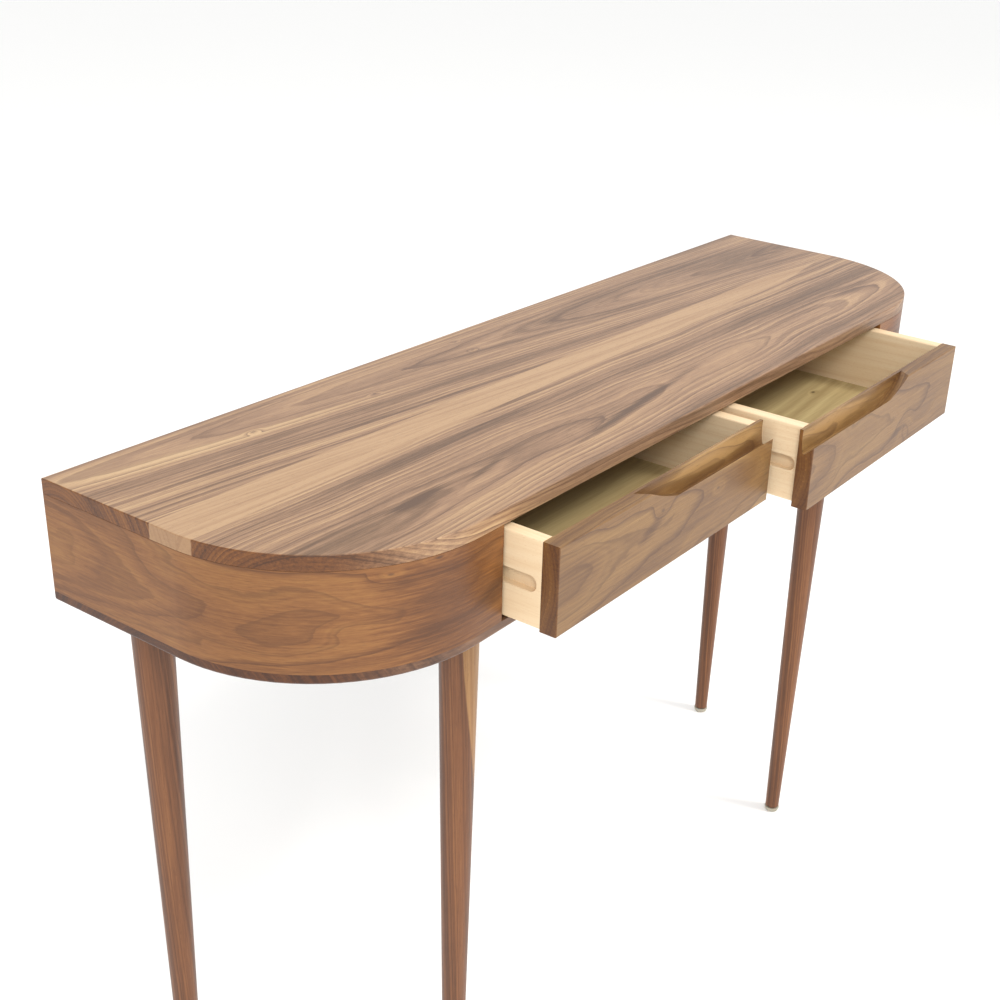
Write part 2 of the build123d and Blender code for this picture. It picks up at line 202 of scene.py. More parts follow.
def walnut(name, **changes):
    spec = {**walnutBase, **changes}
    material, tree = newMaterial(name)
    place = boardPlace(tree, spec)
    radius = treeRings(tree, place, spec)
    rings = addNode(tree, "Math", (radius, spec["ring"]), operation="DIVIDE")
    bands = addNode(tree, "Math", (radius, spec["band"]), operation="DIVIDE")
    yearTone = addNode(tree, "TexNoise", {"W": rings, "Scale": 0.9, "Detail": 3.0, "Roughness": 0.6},
                       noise_dimensions="1D")
    slowTone = addNode(tree, "TexNoise", {"W": bands, "Scale": 1.0, "Detail": 2.0, "Roughness": 0.5},
                       noise_dimensions="1D")
    fibre = stretched(tree, place, *spec["fibre"], 4.0, 0.65, spec["seed"] + 3)
    fleck = stretched(tree, place, *spec["fleck"], 3.0, 0.6, spec["seed"] + 9)
    cloud = stretched(tree, place, *spec["cloud"], 2.0, 0.5, spec["seed"] + 7)
    parts = ((yearTone, spec["yearly"]), (slowTone, spec["slow"]), (fibre, spec["streaks"]),
             (cloud, spec["clouds"]), (fleck, spec["flecks"]))
    tone = 0.5 - sum(amount for pattern, amount in parts) / 2
    for pattern, amount in parts:
        tone = addNode(tree, "Math", (pattern, amount, tone), operation="MULTIPLY_ADD")
    for patch in spec.get("patches", ()):
        # a long soft-edged patch, darker or lighter: heartwood figure on the top boards and by the front
        # knots, painted shade at the ends of the bent sides, painted light in the drawer fronts' scoops
        apart = near(tree, place, spec, patch)
        edge = addNode(tree, "Math", (fibre, spec["patchRagged"], apart), operation="MULTIPLY_ADD")
        share = addNode(tree, "MapRange", (edge, *spec["patchEdge"], patch["tone"], 0.0), **smooth)
        tone = addNode(tree, "Math", (tone, share), operation="ADD")
    if "seam" in spec:
        # up to the seam the face comes from another board of the same tree, a little lighter
        along = addNode(tree, "SeparateXYZ", (addNode(tree, "UVMap", uv_map=spec["uv"]),))
        uneven = addNode(tree, "Math", (fleck, spec["seamSoft"], along), operation="MULTIPLY_ADD")
        ends = (spec["seam"], spec["seam"] + spec["seamSoft"])
        share = addNode(tree, "MapRange", (uneven, *ends, spec["seamTone"], 0.0), **smooth)
        tone = addNode(tree, "Math", (tone, share), operation="ADD")
    colour = addNode(tree, "ValToRGB", (tone,), stops=spec["stops"])

    # the wood darkens a little through the year, then a thin line stops sharply at the next one
    year = addNode(tree, "Math", (rings,), operation="FRACT")
    (slowFrom, slowTo, slowShare), (thinFrom, thinTo, thinShare) = spec["darkening"], spec["thinLine"]
    gentle = addNode(tree, "MapRange", (year, slowFrom, slowTo, 0.0, slowShare), **smooth)
    thin = addNode(tree, "MapRange", (year, thinFrom, thinTo, 0.0, thinShare), **smooth)
    ending = addNode(tree, "MapRange", (year, spec["lineEnd"], 1.0, 1.0, 0.0), **smooth)
    both = addNode(tree, "Math", (gentle, thin), operation="ADD")
    late = addNode(tree, "Math", (both, ending), operation="MULTIPLY")
    weakest = spec["lineLeast"] * spec["lineShare"]
    strong = addNode(tree, "MapRange", (yearTone, 0.66, 0.36, weakest, spec["lineShare"]), **smooth)
    drawn = addNode(tree, "Math", (late, strong), operation="MULTIPLY")
    colour = addNode(tree, "Mix", {0: drawn, 6: colour, 7: hexColour(spec["line"])}, **blend)

    sapShare = None
    if "sapwood" in spec:
        sap = spec["sapwood"]
        level = boardPlace(tree, {"centre": spec["centre"], "turn": sap.get("turn", (0, 0, 0))})
        colour, sapShare = withSapwood(tree, level, tone, colour, sap)
    for knot in spec.get("knots", ()):
        apart = near(tree, place, spec, knot)
        core = addNode(tree, "MapRange", (apart, 0.05, knot["core"], spec["knotShare"], 0.0), **smooth)
        colour = addNode(tree, "Mix", {0: core, 6: colour, 7: hexColour(spec["knotColour"])}, **blend)

    poreNoise = stretched(tree, place, *spec["pore"], 2.0, 0.5, spec["seed"] + 5)
    pores = addNode(tree, "MapRange", (poreNoise, *spec["poreFrom"]), **smooth)
    poreShare = addNode(tree, "Math", (pores, spec["poreShare"]), operation="MULTIPLY")
    colour = addNode(tree, "Mix", {0: poreShare, 6: colour, 7: hexColour(spec["line"])}, **blend)
    lateDip = addNode(tree, "Math", (late, spec["lateDip"]), operation="MULTIPLY")
    dips = addNode(tree, "Math", (pores, lateDip), operation="MAXIMUM")
    height = addNode(tree, "Math", (1.0, dips), operation="SUBTRACT")
    return finishWood(material, tree, colour, height, spec, sapShare)


def withSapwood(tree, place, tone, colour, sap):
    # a cream band between a near and a far edge, closing to a point along the grain
    along = addNode(tree, "SeparateXYZ", (place,))
    across = addNode(tree, "SeparateXYZ", (place,), 1)
    closing = addNode(tree, "MapRange", (along, sap["closeFrom"], sap["closeTo"], 1.0, 0.0), **smooth)
    full = addNode(tree, "Math", (along, sap["narrowing"], sap["half"]), operation="MULTIPLY_ADD")
    half = addNode(tree, "Math", (full, closing), operation="MULTIPLY")
    middle = addNode(tree, "Math", (along, sap["slope"], sap["middle"]), operation="MULTIPLY_ADD")
    offset = addNode(tree, "Math", (addNode(tree, "Math", (across, middle), operation="SUBTRACT"),),
                     operation="ABSOLUTE")
    inside = addNode(tree, "Math", (offset, half), operation="SUBTRACT")
    edge = stretched(tree, place, 250 * mm, 20 * mm, 3.0, 0.55, 11.0)
    ragged = addNode(tree, "Math", (edge, sap["ragged"], inside), operation="MULTIPLY_ADD")
    low, high = sap["ragged"] / 2 - sap["soft"], sap["ragged"] / 2 + sap["soft"]
    share = addNode(tree, "MapRange", (ragged, low, high, 1.0, 0.0), **smooth)
    stops = ((0.0, sap["dark"]), (0.65, sap["light"]), (1.0, sap["light"]))
    cream = addNode(tree, "ValToRGB", (tone,), stops=stops)
    if "glueLine" in sap:
        # where two boards meet: really a tenth of a millimetre, drawn coarser to show at all
        apart = addNode(tree, "Math", (across,), operation="ABSOLUTE")
        seen = addNode(tree, "MapRange", (apart, 0.0, sap["glueLine"], sap["glueShare"], 0.0), **smooth)
        cream = addNode(tree, "Mix", {0: seen, 6: cream, 7: hexColour(sap["dark"])}, **blend)
    return addNode(tree, "Mix", {0: share, 6: colour, 7: cream}, **blend), share


# steamed beech, planed and sanded, matt lacquer: even cream with faint rings and short darker
# flecks where the rays are cut
beechBase = {**lacquered, "seed": 0.0, "wobble": 0.8 * mm, "wobbleSize": (60 * mm, 12 * mm),
             "ring": 3.0 * mm, "heart": (-0.1, -0.12), "taper": 0.02,
             "wander": 3 * mm, "wanderLength": 0.3, "wanderWidth": 0.1,
             "fleck": (2.6 * mm, 0.55 * mm), "fleckFrom": (0.62, 0.74), "fleckShare": 0.35,
             "fibre": (70 * mm, 1.4 * mm),
             "stops": ((0.0, "#D6B58B"), (0.45, "#E4CAA5"), (0.75, "#E8D1AE"), (1.0, "#EAD7B9")),
             "line": "#C99A63", "rough": 0.5, "gloss": 0.35, "bump": 0.2, "soaked": "#E6CBA4"}


def beech(name, **changes):
    spec = {**beechBase, **changes}
    material, tree = newMaterial(name)
    place = boardPlace(tree, spec)
    rings = addNode(tree, "Math", (treeRings(tree, place, spec), spec["ring"]), operation="DIVIDE")
    yearTone = addNode(tree, "TexNoise", {"W": rings, "Scale": 0.7, "Detail": 2.0, "Roughness": 0.55},
                       noise_dimensions="1D")
    fibre = stretched(tree, place, *spec["fibre"], 3.0, 0.6, spec["seed"] + 3)
    tone = addNode(tree, "Math", (yearTone, 0.7, -0.2), operation="MULTIPLY_ADD")
    tone = addNode(tree, "Math", (fibre, 0.7, tone), operation="MULTIPLY_ADD")
    colour = addNode(tree, "ValToRGB", (tone,), stops=spec["stops"])
    fleckNoise = stretched(tree, place, *spec["fleck"], 1.0, 0.4, spec["seed"] + 5)
    flecks = addNode(tree, "MapRange", (fleckNoise, *spec["fleckFrom"], 0.0, spec["fleckShare"]), **smooth)
    colour = addNode(tree, "Mix", {0: flecks, 6: colour, 7: hexColour(spec["line"])}, **blend)
    height = addNode(tree, "Math", (1.0, flecks), operation="SUBTRACT")
    return finishWood(material, tree, colour, height, spec)


# poplar plywood, clear matt lacquer: an olive face veneer with a broad wavy figure, and at
# its edges five plies of alternating grain
plywoodBase = {**lacquered, "seed": 2.0, "wobble": 2 * mm, "wobbleSize": (50 * mm, 20 * mm),
               "ring": 7 * mm, "heart": (0.0, -0.16), "taper": 0.05,
               "wander": 12 * mm, "wanderLength": 0.2, "wanderWidth": 0.16, "fibre": (60 * mm, 1.8 * mm),
               "ply": 1.2 * mm, "plyShare": 0.5, "knotColour": "#46361F", "knotShare": 0.85,
               "stops": ((0.0, "#A0895B"), (0.4, "#B6A072"), (0.7, "#C7B381"), (1.0, "#D5C391")),
               "line": "#665232", "rough": 0.52, "gloss": 0.3, "bump": 0.15, "soaked": "#CBBCA2"}


def plywood(name, **changes):
    spec = {**plywoodBase, **changes}
    material, tree = newMaterial(name)
    place = boardPlace(tree, spec)
    rings = addNode(tree, "Math", (treeRings(tree, place, spec), spec["ring"]), operation="DIVIDE")
    figure = addNode(tree, "TexNoise", {"W": rings, "Scale": 0.8, "Detail": 2.0, "Roughness": 0.5},
                     noise_dimensions="1D")
    fibre = stretched(tree, place, *spec["fibre"], 3.0, 0.6, 4.0)
    tone = addNode(tree, "Math", (figure, 0.9, -0.25), operation="MULTIPLY_ADD")
    tone = addNode(tree, "Math", (fibre, 0.6, tone), operation="MULTIPLY_ADD")
    colour = addNode(tree, "ValToRGB", (tone,), stops=spec["stops"])
    for knot in spec.get("knots", ()):
        apart = near(tree, place, spec, knot)
        core = addNode(tree, "MapRange", (apart, 0.08, knot["core"], spec["knotShare"], 0.0), **smooth)
        colour = addNode(tree, "Mix", {0: core, 6: colour, 7: hexColour(spec["knotColour"])}, **blend)
    # darker every second ply where the sheet is seen from its edge
    facing = addNode(tree, "NewGeometry", out="Normal")
    upward = addNode(tree, "Math", (addNode(tree, "SeparateXYZ", (facing,), 2),), operation="ABSOLUTE")
    depth = addNode(tree, "SeparateXYZ", (place,), 2)
    layer = addNode(tree, "Math", (depth, spec["ply"]), operation="PINGPONG")
    joint = (0.45 * spec["ply"], 0.55 * spec["ply"])
    every = addNode(tree, "MapRange", (layer, *joint, 0.0, spec["plyShare"]), **smooth)
    edgeOn = addNode(tree, "Math", (1.0, upward), operation="SUBTRACT")
    dark = addNode(tree, "Math", (every, edgeOn), operation="MULTIPLY")
    colour = addNode(tree, "Mix", {0: dark, 6: colour, 7: hexColour(spec["line"])}, **blend)
    height = addNode(tree, "Math", (fibre, 0.5, 0.5), operation="MULTIPLY_ADD")
    return finishWood(material, tree, colour, height, spec)


# pieces made as surfaces over two parameters
meshSpec = {"mergeWithin": 0.003 * mm, "sharpAngle": 32.0, "evenWeight": 80}


def surfacePiece(name, grids, uvs=None, spec=meshSpec):
    # each grid is rows by columns of points: neighbours make quads, shared edges are merged
    points, faces, corners, first = [], [], [], 0
    for index, grid in enumerate(grids):
        rows, columns = grid.shape[:2]
        place = first + np.arange(rows * columns).reshape(rows, columns)
        quads = np.stack((place[:-1, :-1], place[1:, :-1], place[1:, 1:], place[:-1, 1:]), -1)
        points.append(grid.reshape(-1, 3))
        faces.append(quads.reshape(-1, 4))
        corners.append(np.zeros((rows * columns, 2)) if uvs is None else uvs[index].reshape(-1, 2))
        first += rows * columns
    points, faces, corners = (np.concatenate(part) for part in (points, faces, corners))
    mesh = bpy.data.meshes.new(name)
    mesh.from_pydata(points.tolist(), [], faces.tolist())
    if uvs is not None:
        layer = mesh.uv_layers.new(name="grain")
        layer.data.foreach_set("uv", corners[faces.ravel()].astype(np.float32).ravel())
    work = bmesh.new()
    work.from_mesh(mesh)
    bmesh.ops.remove_doubles(work, verts=work.verts, dist=spec["mergeWithin"])
    bmesh.ops.recalc_face_normals(work, faces=work.faces)
    work.to_mesh(mesh)
    work.free()
    mesh.polygons.foreach_set("use_smooth", np.ones(len(mesh.polygons), bool))
    mesh.set_sharp_from_angle(angle=math.radians(spec["sharpAngle"]))
    piece = bpy.data.objects.new(name, mesh)
    bpy.context.scene.collection.objects.link(piece)
    even = piece.modifiers.new("evenShading", "WEIGHTED_NORMAL")
    even.keep_sharp, even.weight = True, spec["evenWeight"]
    return piece


def standFor(piece, node, body, material):
    piece.data.materials.append(material)
    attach(piece, body)
    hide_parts(node)


caseSpec = {"halfLength": 600 * mm, "halfDepth": 170 * mm, "corner": 178 * mm, "height": 785 * mm,
            "topThick": 15 * mm, "topEase": 1.2 * mm, "underEase": 0.6 * mm,
            "sideThick": 12 * mm, "sideFoot": 675 * mm, "sideTop": 770 * mm, "opening": 388 * mm,
            "arcSteps": 72, "frontSteps": 96, "endSteps": 24, "splitSteps": 3, "lipSteps": 8,
            "easePoints": 7, "thinEasePoints": 5, "sidePoints": 12,
            "rimShare": 0.004, "fieldShare": (0.03, 14)}  # rows of the top's face, edge to glue line


def cornerArc(start, stop, steps, spec):
    # quarter circle at the front left corner: outline points, and the way outwards at each
    turn = np.linspace(start, stop, steps + 1)
    outwards = np.stack((-np.cos(turn), -np.sin(turn)), -1)
    centre = np.array((spec["corner"] - spec["halfLength"], spec["corner"] - spec["halfDepth"]))
    return centre + spec["corner"] * outwards, outwards


def straightRun(start, stop, outwards, steps):
    # points in even steps from start to stop, and one way outwards for them all
    share = np.linspace(0, 1, steps + 1)[:, None]
    points = np.array(start) * (1 - share) + np.array(stop) * share
    return points, np.tile(outwards, (steps + 1, 1)).astype(float)


def joined(*runs):
    # runs one after another as one outline
    return tuple(np.concatenate([run[part] for run in runs]) for part in (0, 1))


def mirrored(run):
    # the same run on the right half, walked the other way
    return tuple((part * (-1, 1))[::-1] for part in run)


def insetRings(outline, inset, level):
    # every outline point stepped inwards by each inset, at the height that goes with it
    base, outwards = outline
    flat = base[:, None] - inset[None, :, None] * outwards[:, None]
    return np.concatenate((flat, np.broadcast_to(level[None, :, None], (*flat.shape[:2], 1))), -1)


def edgeSection(spec):
    # up the edge of the top: a small quarter circle, straight, and a larger quarter circle
    turn = np.linspace(0, math.pi / 2, spec["easePoints"])
    small, large = spec["underEase"], spec["topEase"]
    low, high = spec["height"] - spec["topThick"], spec["height"]
    inset = np.concatenate((small * (1 - np.cos(turn))[::-1], large * (1 - np.cos(turn))))
    level = np.concatenate((low + small * (1 - np.sin(turn))[::-1], high - large * (1 - np.sin(turn))))
    return inset, level


def topBoard(name, outline, spec):
    # the edge section carried round the outline, and straight lines from there to the glue line
    inset, level = edgeSection(spec)
    edge = insetRings(outline, inset, level)
    share = np.linspace(0, 1, len(edge))[:, None, None]
    glue = edge[:1] * (1 - share) + edge[-1:] * share
    first, rows = spec["fieldShare"]
    across = np.concatenate(([0, spec["rimShare"]], np.linspace(first, 1, rows)))[None, :, None]
    upper = edge[:, -1:] * (1 - across) + glue[:, -1:] * across
    lower = edge[:, :1] * (1 - across) + glue[:, :1] * across
    return surfacePiece(name, [edge, upper, lower, glue])


def topOutlines(spec):
    # where the round corners cross the glue line, the inward step runs along the glue line
    halfLength, halfDepth, radius = spec["halfLength"], spec["halfDepth"], spec["corner"]
    reach = math.asin((radius - halfDepth) / radius)
    cut = [radius - halfLength - radius * math.cos(reach), 0.0]
    split = (np.array([cut]), np.array([[-1 / math.cos(reach), 0.0]]))
    straight = halfLength - radius
    toFront = cornerArc(reach, math.pi / 2, spec["arcSteps"], spec)
    toFront = tuple(part[1:] for part in toFront)
    front = straightRun((-straight, -halfDepth), (straight, -halfDepth), (0, -1), spec["frontSteps"])
    front = tuple(part[1:-1] for part in front)
    frontOutline = joined(split, toFront, front, mirrored(toFront), mirrored(split))

    toEnd = cornerArc(reach, 0.0, spec["splitSteps"], spec)
    toEnd = tuple(part[1:] for part in toEnd)
    end = straightRun((-halfLength, radius - halfDepth), (-halfLength, halfDepth), (-1, 0),
                      spec["endSteps"])
    end = tuple(part[1:-1] for part in end)
    rearCorner = (np.array([[-halfLength, halfDepth]]), np.array([[-1.0, 1.0]]))
    rear = straightRun((-halfLength, halfDepth), (halfLength, halfDepth), (0, 1), spec["frontSteps"])
    rear = tuple(part[1:-1] for part in rear)
    rearOutline = joined(split, toEnd, end, rearCorner, rear, mirrored(rearCorner),
                         mirrored(end), mirrored(toEnd), mirrored(split))
    return frontOutline, rearOutline


def bentSide(name, sign, spec):
    # a board's section carried from the rear edge round the corner to the drawer opening;
    # its grain map runs along the bend in u and up the board in v, in metres
    halfLength, halfDepth, radius = spec["halfLength"], spec["halfDepth"], spec["corner"]
    ease, low, high, thick = spec["underEase"], spec["sideFoot"], spec["sideTop"], spec["sideThick"]
    tip = -spec["opening"] - ease
    end = straightRun((-halfLength, halfDepth), (-halfLength, radius - halfDepth), (-1, 0),
                      spec["endSteps"])
    arc = cornerArc(0.0, math.pi / 2, spec["arcSteps"], spec)
    arc = tuple(part[1:] for part in arc)
    front = straightRun((radius - halfLength, -halfDepth), (tip, -halfDepth), (0, -1), spec["lipSteps"])
    front = tuple(part[1:] for part in front)
    outline = joined(end, arc, front)

    up = np.linspace(low, high, spec["sidePoints"])
    turn = np.linspace(0, math.pi / 2, spec["thinEasePoints"])
    easedIn = ease * (1 - np.cos(turn))
    inward = np.concatenate((easedIn, [thick / 2], thick - easedIn[::-1]))
    beyond = ease * np.concatenate((np.sin(turn), [1.0], np.sin(turn)[::-1]))
    outer = insetRings(outline, np.zeros(len(up)), up)
    inner = insetRings(outline, np.full(len(up), thick), up)
    upper = insetRings(outline, inward, np.full(len(inward), high))
    lower = insetRings(outline, inward, np.full(len(inward), low))

    # the rear end is flat; the end at the opening is eased like the board's edges
    across, rise = np.meshgrid(inward, up, indexing="ij")
    rear = np.stack((across - halfLength, np.full_like(across, halfDepth), rise), -1)
    lipX = tip + np.broadcast_to(beyond[:, None], across.shape)
    lip = np.stack((lipX, across - halfDepth, rise), -1)
    flatEnd = lip[:, :1] * 1.0
    flatEnd[..., 0] = tip
    endFoot = np.concatenate((flatEnd, lip[:, :1]), 1)
    endHead = endFoot + (0, 0, high - low)
    grids = [outer, inner, upper, lower, rear, lip, endFoot, endHead]

    step = np.linalg.norm(np.diff(outline[0], axis=0), axis=1)
    run = np.concatenate(([0], np.cumsum(step)))
    uvs = []
    for grid in grids:
        if len(grid) == len(run):
            along = np.broadcast_to(run[:, None], grid.shape[:2])
        else:
            along = np.full(grid.shape[:2], 0.0 if grid is rear else run[-1])
        uvs.append(np.stack((along, grid[..., 2]), -1))
    grids = [grid * (-sign, 1, 1) for grid in grids]
    return surfacePiece(name, grids, uvs=uvs)


def turnedPiece(name, profile, centre, steps=96):
    # a profile of (radius, height) spun once round an upright line
    turn = np.linspace(0, 2 * math.pi, steps + 1)
    radius, height = profile.T
    x = centre[0] + np.outer(np.cos(turn), radius)
    y = centre[1] + np.outer(np.sin(turn), radius)
    return surfacePiece(name, [np.stack((x, y, np.broadcast_to(height, x.shape)), -1)])


def stepped(*points):
    return np.array(points, float)


legSpec = {"top": 665 * mm, "foot": 8 * mm, "topRadius": 19.6 * mm, "footRadius": 9.8 * mm,
           "ease": 0.6 * mm, "hangerRadius": 4.05 * mm, "hangerDepth": 40 * mm,
           "insertRadius": 5.05 * mm, "insertDepth": 14 * mm, "stemRadius": 3.5 * mm, "stemDepth": 46 * mm,
           "easePoints": 5, "taperPoints": 40}


def legProfile(spec):
    # up the stem bore and insert bore, out over the eased foot, up the taper, down the bolt bore;
    # the taper is a straight line from the foot's radius to the top's
    foot, top, ease = spec["foot"], spec["top"], spec["ease"]
    stem, insert, hanger = spec["stemRadius"], spec["insertRadius"], spec["hangerRadius"]
    stemEnd, insertEnd = foot + spec["stemDepth"], foot + spec["insertDepth"]
    hangerEnd = top - spec["hangerDepth"]
    bores = stepped((0, stemEnd), (stem, stemEnd), (stem, insertEnd), (insert, insertEnd), (insert, foot))
    turn = np.linspace(0, math.pi / 2, spec["easePoints"])
    rim = np.stack((spec["footRadius"] - ease * (1 - np.sin(turn)), foot + ease * (1 - np.cos(turn))), -1)
    height = np.linspace(foot + ease, top, spec["taperPoints"])[1:]
    slope = (spec["topRadius"] - spec["footRadius"]) / (top - foot)
    side = np.stack((spec["footRadius"] + slope * (height - foot), height), -1)
    return np.concatenate((bores, rim, side, stepped((hanger, top), (hanger, hangerEnd), (0, hangerEnd))))


glideSpec = {"stem": 3.05 * mm, "socket": 3.1 * mm, "height": 6.6 * mm, "rimRadius": 10.6 * mm,
             "rimFoot": 4.4 * mm, "ease": 0.4 * mm, "waist": 10.1 * mm, "base": 7.4 * mm, "fullness": 0.8,
             "easePoints": 6, "bodyPoints": 12}


def glideProfile(spec):
    # a moulded foot: a rim with softened arrises over a body that curves in to the floor,
    # its radius falling from the waist to the base as a cosine to the power of the fullness
    ease, rim, height = spec["ease"], spec["rimRadius"], spec["height"]
    socket = stepped((0, spec["socket"]), (spec["stem"], spec["socket"]), (spec["stem"], height))
    turn = np.linspace(0, math.pi / 2, spec["easePoints"])
    upper = np.stack((rim - ease * (1 - np.sin(turn)), height - ease * (1 - np.cos(turn))), -1)
    under = np.stack((rim - ease * (1 - np.cos(turn)), spec["rimFoot"] + ease * (1 - np.sin(turn))), -1)
    turn = np.linspace(0, math.pi / 2, spec["bodyPoints"])
    swelling = np.where(turn < turn[-1], np.abs(np.cos(turn)) ** spec["fullness"], 0.0)
    radius = spec["base"] + (spec["waist"] - spec["base"]) * swelling
    body = np.stack((radius, spec["rimFoot"] * (1 - np.sin(turn))), -1)
    return np.concatenate((socket, upper, under, body, stepped((0, 0))))


print("surfaces defined")


# materials for every node, by what the real part is made of
upright = (0, -math.pi / 2, 0)     # grain up the leg
frontToBack = (0, 0, math.pi / 2)  # grain from the front of the table to the back
standing = (math.pi / 2, 0, 0)     # grain along the table, on a board that stands on edge
topLevel = caseSpec["height"]
caseMiddle, bottomLevel, plyLevel = 0.72, 0.67, 0.684
topCentre = (0, 0, topLevel)

stripe = {"middle": 6 * mm, "slope": -0.003, "half": 19.5 * mm, "narrowing": -0.008,
          "closeFrom": 0.40, "closeTo": 0.575, "ragged": 6 * mm, "soft": 0.9 * mm,
          "glueLine": 0.5 * mm, "glueShare": 0.5, "light": "#AF8E6B", "dark": "#967354"}
rearFigure = {
    "knots": ({"at": (-0.408, 0.114, topLevel), "size": (16 * mm, 8 * mm), "swell": 5 * mm, "core": 0.30},
              {"at": (-0.256, 0.100, topLevel), "size": (14 * mm, 6 * mm), "swell": 4 * mm, "core": 0.26},
              {"at": (-0.080, 0.114, topLevel), "size": (14 * mm, 7 * mm), "swell": 4 * mm, "core": 0.30},
              {"at": (-0.072, 0.146, topLevel), "size": (12 * mm, 6 * mm), "swell": 4 * mm, "core": 0.26}),
    "patches": ({"at": (-0.42, 0.112, topLevel), "size": (0.26, 14 * mm), "slant": -3.5, "tone": 0.32},
                {"at": (-0.36, 0.062, topLevel), "size": (0.30, 12 * mm), "slant": -3.5, "tone": -0.30},
                {"at": (0.10, 0.082, topLevel), "size": (0.34, 14 * mm), "slant": -3.5, "tone": -0.16},
                {"at": (-0.50, 0.125, topLevel), "size": (0.16, 40 * mm), "slant": -3.5, "tone": 0.16},
                {"at": (0.48, 0.095, topLevel), "size": (0.20, 50 * mm), "slant": -2.0, "tone": -0.22}),
}
frontFigure = {
    "patches": ({"at": (-0.424, -0.102, topLevel), "size": (0.055, 10 * mm), "slant": 6.0, "tone": -0.50},
                {"at": (-0.330, -0.104, topLevel), "size": (0.045, 6 * mm), "slant": 10.0, "tone": -0.35},
                {"at": (-0.10, -0.118, topLevel), "size": (0.20, 8 * mm), "slant": 7.0, "tone": -0.50},
                {"at": (0.464, -0.094, topLevel), "size": (0.09, 16 * mm), "slant": 3.0, "tone": -0.30},
                {"at": (0.42, -0.070, topLevel), "size": (0.28, 60 * mm), "slant": 2.0, "tone": -0.24},
                {"at": (-0.30, -0.036, topLevel), "size": (0.30, 9 * mm), "slant": -1.0, "tone": -0.30}),
}
walnutTopRear = walnut("walnutTopRear", seed=4.0, centre=topCentre, turn=(0, 0, -0.06),
                       heart=(0.115, -0.05), taper=-0.03, wander=5 * mm, wanderLength=0.42,
                       wanderWidth=0.13, sapwood=stripe, **rearFigure)
walnutTopFront = walnut("walnutTopFront", seed=1.0, centre=topCentre, heart=(-0.108, -0.06), taper=0.02,
                        wander=6 * mm, wanderLength=0.2, wanderWidth=0.10, sapwood=stripe, **frontFigure)

# on the bent sides a place is how far round from the rear edge, and how high
# painted shade: one patch darkens the front end of each bent side for shading and the drawer's cast shadow,
# a weaker one darkens the rear end
bentShadePatches = ({"at": (0.41, caseMiddle, 0), "size": (0.09, 0.10), "tone": -0.36},
               {"at": (0.02, caseMiddle, 0), "size": (0.10, 0.10), "tone": -0.12})
bentLook = {"uv": "grain", "patches": bentShadePatches, "centre": (0.1, caseMiddle, 0), "heart": (0.01, -0.12),
            "wander": 10 * mm, "wanderLength": 0.16, "wanderWidth": 0.06, "yearly": 0.5, "slow": 0.6,
            "streaks": 0.6, "flecks": 0.6, "clouds": 0.4, "seam": 165 * mm,
            "line": "#4E2D15", "lineShare": 0.62,
            "stops": ((0.0, "#563217"), (0.3, "#6F4420"), (0.5, "#815329"), (0.75, "#906332"),
                      (1.0, "#9F713A"))}
bentKnots = ({"at": (0.352, 0.762, 0), "size": (26 * mm, 9 * mm), "swell": 5 * mm, "core": 0.16},
             {"at": (0.396, 0.767, 0), "size": (26 * mm, 9 * mm), "swell": 5 * mm, "core": 0.18},
             {"at": (0.318, 0.716, 0), "size": (46 * mm, 16 * mm), "swell": 4 * mm, "core": 0.05})
walnutBent = {"left": walnut("walnutBentLeft", seed=2.0, knots=bentKnots, **bentLook),
              "right": walnut("walnutBentRight", seed=9.0, **bentLook)}
# painted shade: darker stops than the other walnut, for the shade along the case bottom's lower edge
walnutBottom = walnut("walnutBottom", seed=5.0, centre=(0, 0, bottomLevel), heart=(0.03, -0.06),
                      stops=((0.0, "#432C1F"), (0.35, "#624431"), (0.6, "#78573F"), (1.0, "#906D52")))
walnutBack = walnut("walnutBack", seed=6.0, centre=(0, caseSpec["halfDepth"], caseMiddle), turn=standing,
                    heart=(0.0, -0.1))
walnutInner = walnut("walnutInner", seed=7.0, centre=(0, 0, caseMiddle), turn=frontToBack,
                     heart=(0.1, 0.02))

frontLook = {"heart": (0.0, -0.13), "wander": 6 * mm, "wanderLength": 0.12, "wanderWidth": 0.07,
             "turn": standing, "line": "#503421", "yearly": 0.45, "soaked": "#D5B995", "slow": 1.0,
             "stops": ((0.0, "#54381E"), (0.3, "#6A4A2A"), (0.5, "#7B5932"), (0.75, "#87663B"),
                       (1.0, "#A78252"))}
leftFace, rightFace = (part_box(side + "_drawer_front")[0].y for side in ("left", "right"))
leftFigureAndScoopLight = {
    "knots": ({"at": (-0.218, leftFace, 0.741), "size": (30 * mm, 18 * mm), "swell": 4 * mm, "core": 0.14},
              {"at": (-0.113, leftFace, 0.729), "size": (26 * mm, 14 * mm), "swell": 3 * mm, "core": 0.14}),
    "patches": ({"at": (-0.235, leftFace, 0.728), "size": (0.030, 10 * mm), "slant": 20.0, "tone": -0.40},
                # painted light: this patch lightens the scoop, standing in for the light that falls into it
                {"at": (-0.094, -0.215, 0.757), "size": (0.13, 16 * mm), "tone": 1.1}),
}
rightFigureAndScoopLight = {
    "knots": ({"at": (0.249, rightFace, 0.700), "size": (34 * mm, 24 * mm), "swell": 6 * mm,
               "core": 0.08},),
    "patches": ({"at": (0.232, rightFace, 0.700), "size": (0.034, 7 * mm), "slant": 12.0, "tone": -0.40},
                # painted light: this patch lightens the scoop, standing in for the light that falls into it
                {"at": (0.090, -0.262, 0.757), "size": (0.13, 14 * mm), "tone": 0.45}),
}
walnutFront = {"left": walnut("walnutFrontLeft", seed=3.0, centre=(-0.22, leftFace, caseMiddle),
                              **frontLook, **leftFigureAndScoopLight),
               "right": walnut("walnutFrontRight", seed=8.0, centre=(0.22, rightFace, caseMiddle),
                               **frontLook, **rightFigureAndScoopLight)}

